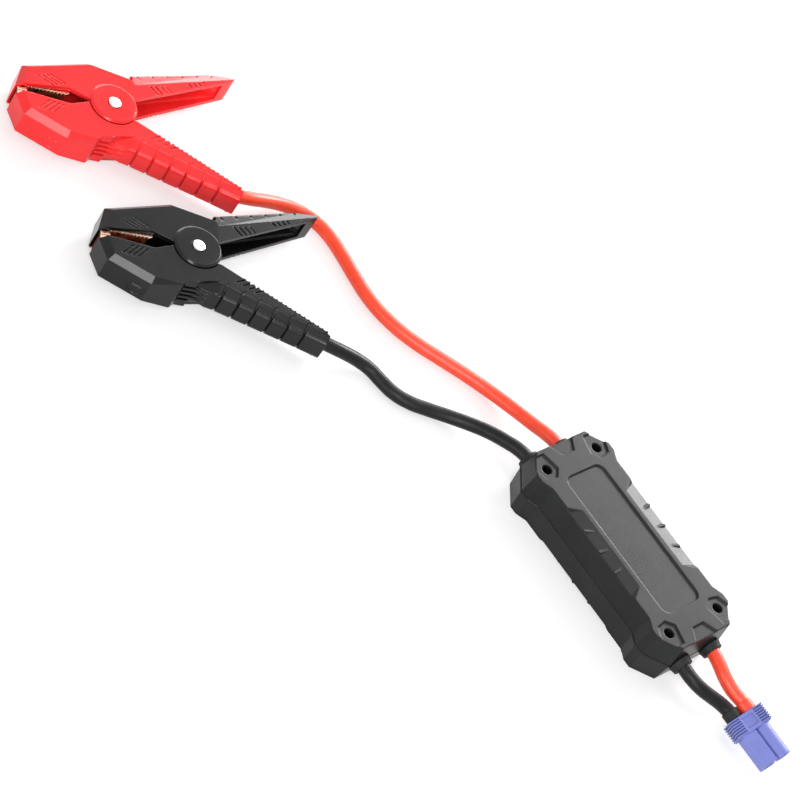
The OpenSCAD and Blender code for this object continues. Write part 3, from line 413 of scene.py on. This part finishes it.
def rounded_copy(node, grain, passes=2, shape=None, keep=None):
    """The node's solids with rounded edges: remeshed in cubes of one grain, eased, thinned out on flats.

    Keep says from its centre whether a solid stays; shape works on the remeshed solids.
    """
    mesh = frame["nodes"][node].data.copy()
    mesh.name = f"{node}_looks"
    welded = bmesh.new()
    welded.from_mesh(mesh)
    bmesh.ops.remove_doubles(welded, verts=welded.verts, dist=WELD)
    for solid in loose_solids(welded) if keep else ():
        if not keep(sum((v.co for v in solid), Vector()) / len(solid)):
            bmesh.ops.delete(welded, geom=solid, context="VERTS")
    welded.to_mesh(mesh)
    welded.free()
    mesh.materials.clear()
    mesh = refined(mesh, ("REMESH", {"mode": "VOXEL", "voxel_size": grain * 1}))
    if shape:
        shape(mesh)
    mesh = refined(mesh, ("SMOOTH", {"factor": 0.5, "iterations": passes}),
                   ("DECIMATE", {"ratio": FACES_KEPT}))
    mesh.shade_smooth()
    return refined(mesh, ("WEIGHTED_NORMAL", {"mode": "FACE_AREA", "weight": 80}))


def local_points(mesh, pivot=(0, 0, 0)):
    """The mesh's vertices in mm from the pivot."""
    points = np.empty(len(mesh.vertices) * 3)
    mesh.vertices.foreach_get("co", points)
    return (points.reshape(-1, 3) - np.array(pivot)) / MM


def move_points(mesh, local, pivot=(0, 0, 0)):
    """Puts the mesh's vertices at places in mm from the pivot."""
    mesh.vertices.foreach_set("co", (local * MM + np.array(pivot)).ravel())
    mesh.update()


def groove_seam(mesh):
    """Presses in the outer wall along the parting line, so that the two shells meet in a groove."""
    half_width, depth, wall = 0.65, 1.0, 0.3
    local = local_points(mesh)
    facing = np.empty(len(mesh.vertices) * 3)
    mesh.vertex_normals.foreach_get("vector", facing)
    facing = facing.reshape(-1, 3)[:, :2]
    steep = np.hypot(facing[:, 0], facing[:, 1])
    outer = (steep > wall) & ((facing * local[:, :2]).sum(axis=1) > 0)
    near = np.clip(1 - np.abs(local[:, 2] - PARTING) / half_width, 0, 1)
    local[:, :2] -= facing * (np.where(outer, near * depth, 0) / np.maximum(steep, wall))[:, None]
    move_points(mesh, local)


def ease_strip(mesh, pivot, root, end, run, drop, taper, radius):
    """Rounds the outer edges of a grip's strip, which runs from root to end (mm from the pivot).

    From the strip's outer wall a slope climbs over the run to the grip's face, drop minus lip higher. The
    run narrows towards the end. Points near the edge move in to a cylinder that touches wall and slope.
    """
    lip, narrowing, beyond, skin, fade = 0.7, 0.3, 2, 2.4, 1.2
    local = local_points(mesh, pivot)
    root, end = np.array(root), np.array(end)
    length = np.hypot(*(end - root))
    along = (end - root) / length
    inward = np.array((-along[1], along[0])) * (1 if end[1] < root[1] else -1)
    place = (local[:, :2] - root) @ along
    share = np.clip(place / length, 0, 1)
    slope = (drop - lip) / (run * (1 - narrowing * share))

    # Across and up from the cylinder's axis, and the angle from the wall's normal to the slope's
    across = (local[:, :2] - root) @ inward - radius
    wall_top = FACE - taper * share - drop
    above = np.abs(local[:, 2]) - wall_top - radius * (slope - np.sqrt(1 + slope ** 2))
    far = np.hypot(across, above)
    facing = np.arctan2(above, -across)
    limit = np.arctan2(1.0, slope)

    half = limit / 2
    sharp = radius / np.cos(np.clip(np.where(facing < half, facing, limit - facing), 0, half))
    inside = (facing > 0) & (facing < limit) & (place > -beyond) & (place < length + beyond) & (far > 0)
    weight = np.clip((far - (sharp - skin)) / fade, 0, 1) * np.clip((place + beyond) / (2 * beyond), 0, 1)
    shift = np.where(inside, (radius - sharp) * weight, 0) / np.maximum(far, 0.01)
    local[:, :2] += (shift * across)[:, None] * inward
    local[:, 2] += shift * above * np.sign(local[:, 2])
    move_points(mesh, local, pivot)


def turned_mesh(name, profile, sides):
    """A solid of revolution about Z from (radius, height) pairs, lowest first."""
    shape = bmesh.new()
    rings = []
    for radius, height in profile:
        angles = [math.tau * i / sides for i in range(sides if radius else 1)]
        rings.append([shape.verts.new((radius * math.cos(a), radius * math.sin(a), height)) for a in angles])
    for low, high in zip(rings, rings[1:]):
        for i in range(sides):
            j = (i + 1) % sides
            corners = [low[i % len(low)], low[j % len(low)], high[j % len(high)], high[i % len(high)]]
            shape.faces.new(list(dict.fromkeys(corners)))
    bmesh.ops.recalc_face_normals(shape, faces=shape.faces)
    mesh = bpy.data.meshes.new(name)
    shape.to_mesh(mesh)
    shape.free()
    smooth(mesh)
    return mesh


def lead_curve(name, points, diameter):
    """A round lead through its route's points."""
    curve = bpy.data.curves.new(name, "CURVE")
    curve.dimensions = "3D"
    curve.bevel_depth = diameter / 2
    curve.bevel_resolution = 6
    curve.resolution_u = 8
    curve.use_fill_caps = True
    spline = curve.splines.new("BEZIER")
    spline.bezier_points.add(len(points) - 1)
    for knot, point in zip(spline.bezier_points, points):
        knot.co = point
        knot.handle_left_type = knot.handle_right_type = "AUTO"
    piece = bpy.data.objects.new(name, curve)
    bpy.context.scene.collection.objects.link(piece)
    bpy.context.view_layer.update()
    return piece, spline.calc_length()


def rib_rows():
    """Geometry Nodes: two mirrored rows of small rounded ribs between two points."""
    tree = bpy.data.node_groups.new("rib_rows", "GeometryNodeTree")
    sockets = {}
    for name, kind in (("Start", "NodeSocketVector"), ("End", "NodeSocketVector"), ("Count", "NodeSocketInt"),
                       ("Size", "NodeSocketVector"), ("Material", "NodeSocketMaterial")):
        sockets[name] = tree.interface.new_socket(name, in_out="INPUT", socket_type=kind).identifier
    tree.interface.new_socket("Geometry", in_out="OUTPUT", socket_type="NodeSocketGeometry")
    given = put(tree, "NodeGroupInput")
    line = put(tree, "GeometryNodeMeshLine", links={
        "Count": (given, "Count"), "Start Location": (given, "Start"), "Offset": (given, "End")},
        mode="END_POINTS")
    ball = put(tree, "GeometryNodeMeshUVSphere", {"Segments": 12, "Rings": 8, "Radius": 1.0})
    soft = put(tree, "GeometryNodeSetShadeSmooth", links={"Geometry": (ball, "Mesh")})
    row = put(tree, "GeometryNodeInstanceOnPoints", links={
        "Points": (line, "Mesh"), "Instance": (soft, "Geometry"), "Scale": (given, "Size")})
    real = put(tree, "GeometryNodeRealizeInstances", links={"Geometry": (row, "Instances")})
    other = put(tree, "GeometryNodeTransform", {"Scale": (1, 1, -1)}, {"Geometry": (real, "Geometry")})
    turned = put(tree, "GeometryNodeFlipFaces", links={"Mesh": (other, "Geometry")})
    both = put(tree, "GeometryNodeJoinGeometry", links={"Geometry": (real, "Geometry")})
    tree.links.new(turned.outputs["Mesh"], both.inputs["Geometry"])
    painted = put(tree, "GeometryNodeSetMaterial", links={
        "Geometry": (both, "Geometry"), "Material": (given, "Material")})
    put(tree, "NodeGroupOutput", links={"Geometry": (painted, "Geometry")})
    return tree, sockets


# Operators


class CLAMPSET_OT_stage(bpy.types.Operator):
    """Floor, soft light and the photograph's camera"""

    bl_idname = "clampset.stage"
    bl_label = "Stage"

    def execute(self, context):
        scene = context.scene
        scene.view_settings.view_transform = "Standard"

        # Floor: white where it is seen, with the set's soft shadow; a plain pale card to the light
        white, shadow_grey, card_grey = (1, 1, 1, 1), (0.56, 0.56, 0.56, 1), (0.75, 0.75, 0.75, 1)
        floor_glow, fill_strength = 0.5, 0.35
        material, tree = new_material("pale_floor")
        matt = put(tree, "ShaderNodeBsdfDiffuse", {"Color": shadow_grey})
        glow = put(tree, "ShaderNodeEmission", {"Color": white, "Strength": floor_glow})
        lit = put(tree, "ShaderNodeAddShader", links={0: (matt, 0), 1: (glow, 0)})
        plain = put(tree, "ShaderNodeBsdfDiffuse", {"Color": card_grey})
        mixed = put(tree, "ShaderNodeMixShader",
                    links={0: (shows_background(tree), 0), 1: (plain, 0), 2: (lit, 0)})
        close_material(tree, mixed)
        bpy.ops.mesh.primitive_plane_add(size=8, location=(0, 0, 0))
        floor = context.active_object
        floor.name = "floor"
        floor.data.materials.append(material)

        # World: a white backdrop and a weak even light
        world = bpy.data.worlds.new("studio")
        scene.world = world
        world.use_nodes = True
        tree = world.node_tree
        tree.nodes.clear()
        fill = put(tree, "ShaderNodeBackground", {"Color": white, "Strength": fill_strength})
        backdrop = put(tree, "ShaderNodeBackground", {"Color": white, "Strength": 1.0})
        mixed = put(tree, "ShaderNodeMixShader",
                    links={0: (shows_background(tree), 0), 1: (fill, 0), 2: (backdrop, 0)})
        put(tree, "ShaderNodeOutputWorld", links={"Surface": (mixed, 0)})

        # Soft boxes: place, width, height and watts
        aim = Vector((-0.1, 0.1, 0))
        for name, place, width, height, watts in (
            ("overhead_box", (0.45, 0.3, 1.6), 1.4, 1.4, 7.5),
            ("panel_box", (1.1, 1.45, 1.5), 0.5, 0.5, 2),
            ("front_box", (-0.7, -1.03, 1.37), 0.55, 0.55, 12),
            ("grip_box", (-0.5, -1.35, 0.53), 0.5, 0.3, 5),
            ("low_box", (-1.55, -0.75, 0.5), 0.8, 0.6, 6),
            ("rim_box", (0.99, 0.9, 0.62), 0.6, 0.6, 23),
            ("back_strip", (0.2, 1.5, 0.25), 1.2, 0.36, 10),
        ):
            lamp = bpy.data.lights.new(name, "AREA")
            lamp.shape = "RECTANGLE"
            lamp.size = width
            lamp.size_y = height
            lamp.energy = watts
            light = bpy.data.objects.new(name, lamp)
            light.location = place
            light.rotation_euler = (aim - Vector(place)).to_track_quat("-Z", "Y").to_euler()
            scene.collection.objects.link(light)

        # Camera: it looks at middle, a place in a frame that is turned from the set's by the roll
        tilt, roll, reach = math.radians(44.5), math.radians(37.5), 1453 * MM
        middle = Vector((-128.0 * MM, 6.4 * MM, 0))
        away = Vector((0, math.cos(tilt), -math.sin(tilt)))
        right = Vector((1, 0, 0))
        up = Vector((0, math.sin(tilt), math.cos(tilt)))
        across = math.cos(roll) * right + math.sin(roll) * up
        upright = math.cos(roll) * up - math.sin(roll) * right
        to_set = Matrix.Rotation(-roll, 4, "Z") @ Matrix.Translation(middle)
        axes = Matrix((across, upright, -away)).transposed().to_4x4()
        eye = bpy.data.objects.new("camera", bpy.data.cameras.new("camera"))
        eye.data.sensor_width = 36
        eye.data.lens = 135
        eye.data.clip_start = 0.05
        eye.data.clip_end = 20
        eye.matrix_world = to_set @ Matrix.Translation(-away * reach) @ axes
        scene.collection.objects.link(eye)
        scene.camera = eye
        return {"FINISHED"}


class CLAMPSET_OT_leads(bpy.types.Operator):
    """Silicone leads, laid as the photograph shows them"""

    bl_idname = "clampset.leads"
    bl_label = "Leads"

    def execute(self, context):
        size = looks()
        tails = {colour: [BOX_TURN @ (Vector(p) * MM) for p in points]
                 for colour, points in zip(COLOURS, (RED_TAIL, BLACK_TAIL))}
        runs = {colour: [Vector(p) * MM for p in points]
                for colour, points in zip(COLOURS, (RED_ROUTE, BLACK_ROUTE))}
        for colour in COLOURS:
            piece, length = lead_curve(f"{colour}_clamp_lead_sleeve", runs[colour], size.lead_diameter)
            add_piece(piece.name, piece, f"{colour}_silicone", FIXED, [f"{colour}_clamp_lead"])
            piece, length = lead_curve(f"{colour}_plug_lead_sleeve", tails[colour], size.lead_diameter)
            add_piece(piece.name, piece, f"{colour}_silicone", FIXED, [f"{colour}_plug_lead"])
        return {"FINISHED"}


class CLAMPSET_OT_clamp_halves(bpy.types.Operator):
    """Moulded halves of both clamps, with rounded edges"""

    bl_idname = "clampset.clamp_halves"
    bl_label = "Clamp halves"

    def execute(self, context):
        size = looks()
        for colour in COLOURS:
            for half in ("cable", "moving"):
                node = f"{colour}_{half}_shell"
                mesh = rounded_copy(node, size.clamp_edge,
                                    shape=lambda raw: ease_strip(raw, PIVOT[colour], *STRIPS[half]))
                add_piece(f"{node}_moulded", mesh, f"{colour}_plastic", body_of(node), [node])
            node = f"{colour}_cable_clip"
            add_piece(f"{node}_moulded", rounded_copy(node, CLIP_GRAIN), f"{colour}_plastic", FIXED, [node])
        return {"FINISHED"}


class CLAMPSET_OT_rim_ribs(bpy.types.Operator):
    """Fine ribs along the rim of each cable half's grip"""

    bl_idname = "clampset.rim_ribs"
    bl_label = "Rim ribs"

    def execute(self, context):
        size = looks()
        tree, sockets = rib_rows()
        # The row on the rim's upper edge, from the pivot, and a rib's half width and half length
        start, end = Vector((22.5, -14.6, 8.75)) * MM, Vector((62.6, -38.1, 8.75)) * MM
        half_width, half_length = 0.75 * MM, 1.1 * MM
        for colour in COLOURS:
            host = bpy.data.objects.new("rib_host", bpy.data.meshes.new("rib_host"))
            context.scene.collection.objects.link(host)
            rows = host.modifiers.new("rows", "NODES")
            rows.node_group = tree
            rows[sockets["Start"]] = start
            rows[sockets["End"]] = end
            rows[sockets["Count"]] = round((end - start).length / size.rib_pitch) + 1
            rows[sockets["Size"]] = (half_width, size.rib_height, half_length)
            rows[sockets["Material"]] = MATERIALS[f"{colour}_plastic"]
            mesh = finished_mesh(host, f"{colour}_cable_ribs")
            mesh.transform(Matrix.Translation(PIVOT[colour]))
            add_piece(f"{colour}_cable_shell_rim_ribs", mesh, f"{colour}_plastic", FIXED)
        return {"FINISHED"}


class CLAMPSET_OT_jaw_plates(bpy.types.Operator):
    """Toothed copper plates of both clamps"""

    bl_idname = "clampset.jaw_plates"
    bl_label = "Jaw plates"

    def execute(self, context):
        size = looks()
        for colour in COLOURS:
            for side in ("upper", "lower"):
                node = f"{colour}_{side}_jaw"
                mesh = rounded_copy(node, size.plate_edge, 1)
                add_piece(f"{node}_plate", mesh, "copper", body_of(node), [node])
        return {"FINISHED"}


class CLAMPSET_OT_rivets(bpy.types.Operator):
    """Pivot rivets with rolled heads"""

    bl_idname = "clampset.rivets"
    bl_label = "Rivets"

    def execute(self, context):
        sides = looks().ring_sides
        # Upper head, from its underside round to the dimple: radius, and height over the clamp's mid plane
        head = [(1.9, 10.2), (3.2, 10.45), (3.3, 10.75), (3.2, 11.1), (2.8, 11.36), (2.1, 11.5), (1.5, 11.48),
                (1.1, 11.34), (0.9, 11.0), (0.8, 10.6), (0, 10.5)]
        profile = [(r, -z) for r, z in reversed(head)] + head
        for colour in COLOURS:
            mesh = turned_mesh(f"{colour}_rivet_turned", [(r * MM, z * MM) for r, z in profile], sides)
            mesh.transform(Matrix.Translation(PIVOT[colour]))
            add_piece(f"{colour}_rivet_rolled", mesh, "bright_steel", FIXED, [f"{colour}_rivet"])
        return {"FINISHED"}


class CLAMPSET_OT_springs(bpy.types.Operator):
    """Torsion springs of both clamps"""

    bl_idname = "clampset.springs"
    bl_label = "Springs"

    def execute(self, context):
        size = looks()
        radius, pitch, leg, coils, steps = 6.2, 2.1, 28.5, 3, 56
        # Directions of the legs, and the turn from one leg's start to the other's, in degrees
        lower, upper = -39, 36.5
        turn = coils * 360 + (lower - 90) - (upper + 90 - 360)
        rise = pitch * turn / 360
        coil = []
        for i in range(steps + 1):
            angle = math.radians(lower - 90 - turn * i / steps)
            height = rise * (i / steps - 0.5)
            coil.append(Vector((radius * math.cos(angle), radius * math.sin(angle), height)))
        out = [Vector((math.cos(math.radians(a)), math.sin(math.radians(a)), 0)) for a in (lower, upper)]
        path = [coil[0] + out[0] * d for d in (leg, leg * 0.6, leg * 0.2)] + coil
        path += [coil[-1] + out[1] * d for d in (leg * 0.2, leg * 0.6, leg)]
        for colour in COLOURS:
            route = [PIVOT[colour] + p * MM for p in path]
            work, _ = lead_curve(f"{colour}_spring_work", route, size.wire_diameter)
            mesh = finished_mesh(work, f"{colour}_spring_wire")
            smooth(mesh, 60)
            piece = bpy.data.objects.new(f"{colour}_spring_wound", mesh)
            context.scene.collection.objects.link(piece)
            mesh.materials.clear()
            mesh.materials.append(MATERIALS["spring_steel"])
            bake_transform(piece)
            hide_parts(f"{colour}_spring")
        return {"FINISHED"}


class CLAMPSET_OT_control_box(bpy.types.Operator):
    """Moulded shells of the control box and its lead collars"""

    bl_idname = "clampset.control_box"
    bl_label = "Control box"

    def execute(self, context):
        size = looks()
        for node in ("box_upper_shell", "box_lower_shell"):
            mesh = rounded_copy(node, size.box_edge, shape=groove_seam)
            add_piece(f"{node}_moulded", mesh, "box_plastic", FIXED, [node])
        for node in ("clamp_end_collars", "plug_end_collars"):
            add_piece(f"{node}_moulded", rounded_copy(node, COLLAR_GRAIN), "black_rubber", FIXED, [node])
        return {"FINISHED"}


class CLAMPSET_OT_plug(bpy.types.Operator):
    """Two-barrel plug with its contacts and shrink sleeves"""

    bl_idname = "clampset.plug"
    bl_label = "Plug"

    def execute(self, context):
        size = looks()
        mesh = rounded_copy("plug_housing", size.plug_edge)
        add_piece("plug_housing_moulded", mesh, "blue_plastic", FIXED, ["plug_housing"])
        mesh = rounded_copy("plug_contacts", CONTACT_GRAIN, 1)
        add_piece("plug_contacts_turned", mesh, "gold_brass", FIXED, ["plug_contacts"])
        # The point between the two sleeves, and the way from the black one to the red one
        middle, axis = BOX_TURN @ (Vector((96.4, 6.5, 8.6)) * MM), BOX_TURN.to_3x3() @ Vector((0, 8, 3.2))
        for name, slot, side in (("red", "red_silicone", 1), ("black", "black_rubber", -1)):
            mesh = rounded_copy("plug_sleeves", SLEEVE_GRAIN,
                                keep=lambda centre, side=side: side * (centre - middle).dot(axis) > 0)
            add_piece(f"plug_sleeve_{name}", mesh, slot, FIXED, ["plug_sleeves"])
        return {"FINISHED"}


class CLAMPSET_OT_inner_parts(bpy.types.Operator):
    """Finishes for the solids that show as they are"""

    bl_idname = "clampset.inner_parts"
    bl_label = "Inner parts"

    def execute(self, context):
        for part in frame["record"]["subparts"]:
            node = frame["nodes"][part["node"]]
            node.data.materials.clear()
            # The jaw screws are plated with their plates, so they take the plates' material and its painted mouth
            # shade too
            plated = part["node"].endswith("jaw_screw")
            node.data.materials.append(MATERIALS["copper" if plated else part["material_slot"]])
        return {"FINISHED"}


class CLAMPSET_PT_panel(bpy.types.Panel):
    """Sizes, colours and steps of the clamp set"""

    bl_idname = "CLAMPSET_PT_panel"
    bl_label = "Clamp set"
    bl_space_type = "VIEW_3D"
    bl_region_type = "UI"
    bl_category = "Clamp set"

    def draw(self, context):
        for name in ClampSetLooks.__annotations__:
            self.layout.prop(context.scene.clamp_set_looks, name)
        for step in STEPS:
            self.layout.operator(step.bl_idname)


STEPS = (
    CLAMPSET_OT_stage,
    CLAMPSET_OT_plug,
    CLAMPSET_OT_leads,
    CLAMPSET_OT_clamp_halves,
    CLAMPSET_OT_rim_ribs,
    CLAMPSET_OT_jaw_plates,
    CLAMPSET_OT_rivets,
    CLAMPSET_OT_springs,
    CLAMPSET_OT_control_box,
    CLAMPSET_OT_inner_parts,
)
CLASSES = (ClampSetLooks, *STEPS, CLAMPSET_PT_panel)


def register():
    for item in CLASSES:
        bpy.utils.register_class(item)
    bpy.types.Scene.clamp_set_looks = PointerProperty(type=ClampSetLooks)


def unregister():
    del bpy.types.Scene.clamp_set_looks
    for item in reversed(CLASSES):
        bpy.utils.unregister_class(item)


def main():
    register()
    make_materials()
    for step in STEPS:
        group, name = step.bl_idname.split(".")
        getattr(getattr(bpy.ops, group), name)()


if __name__ == "__main__":
    main()
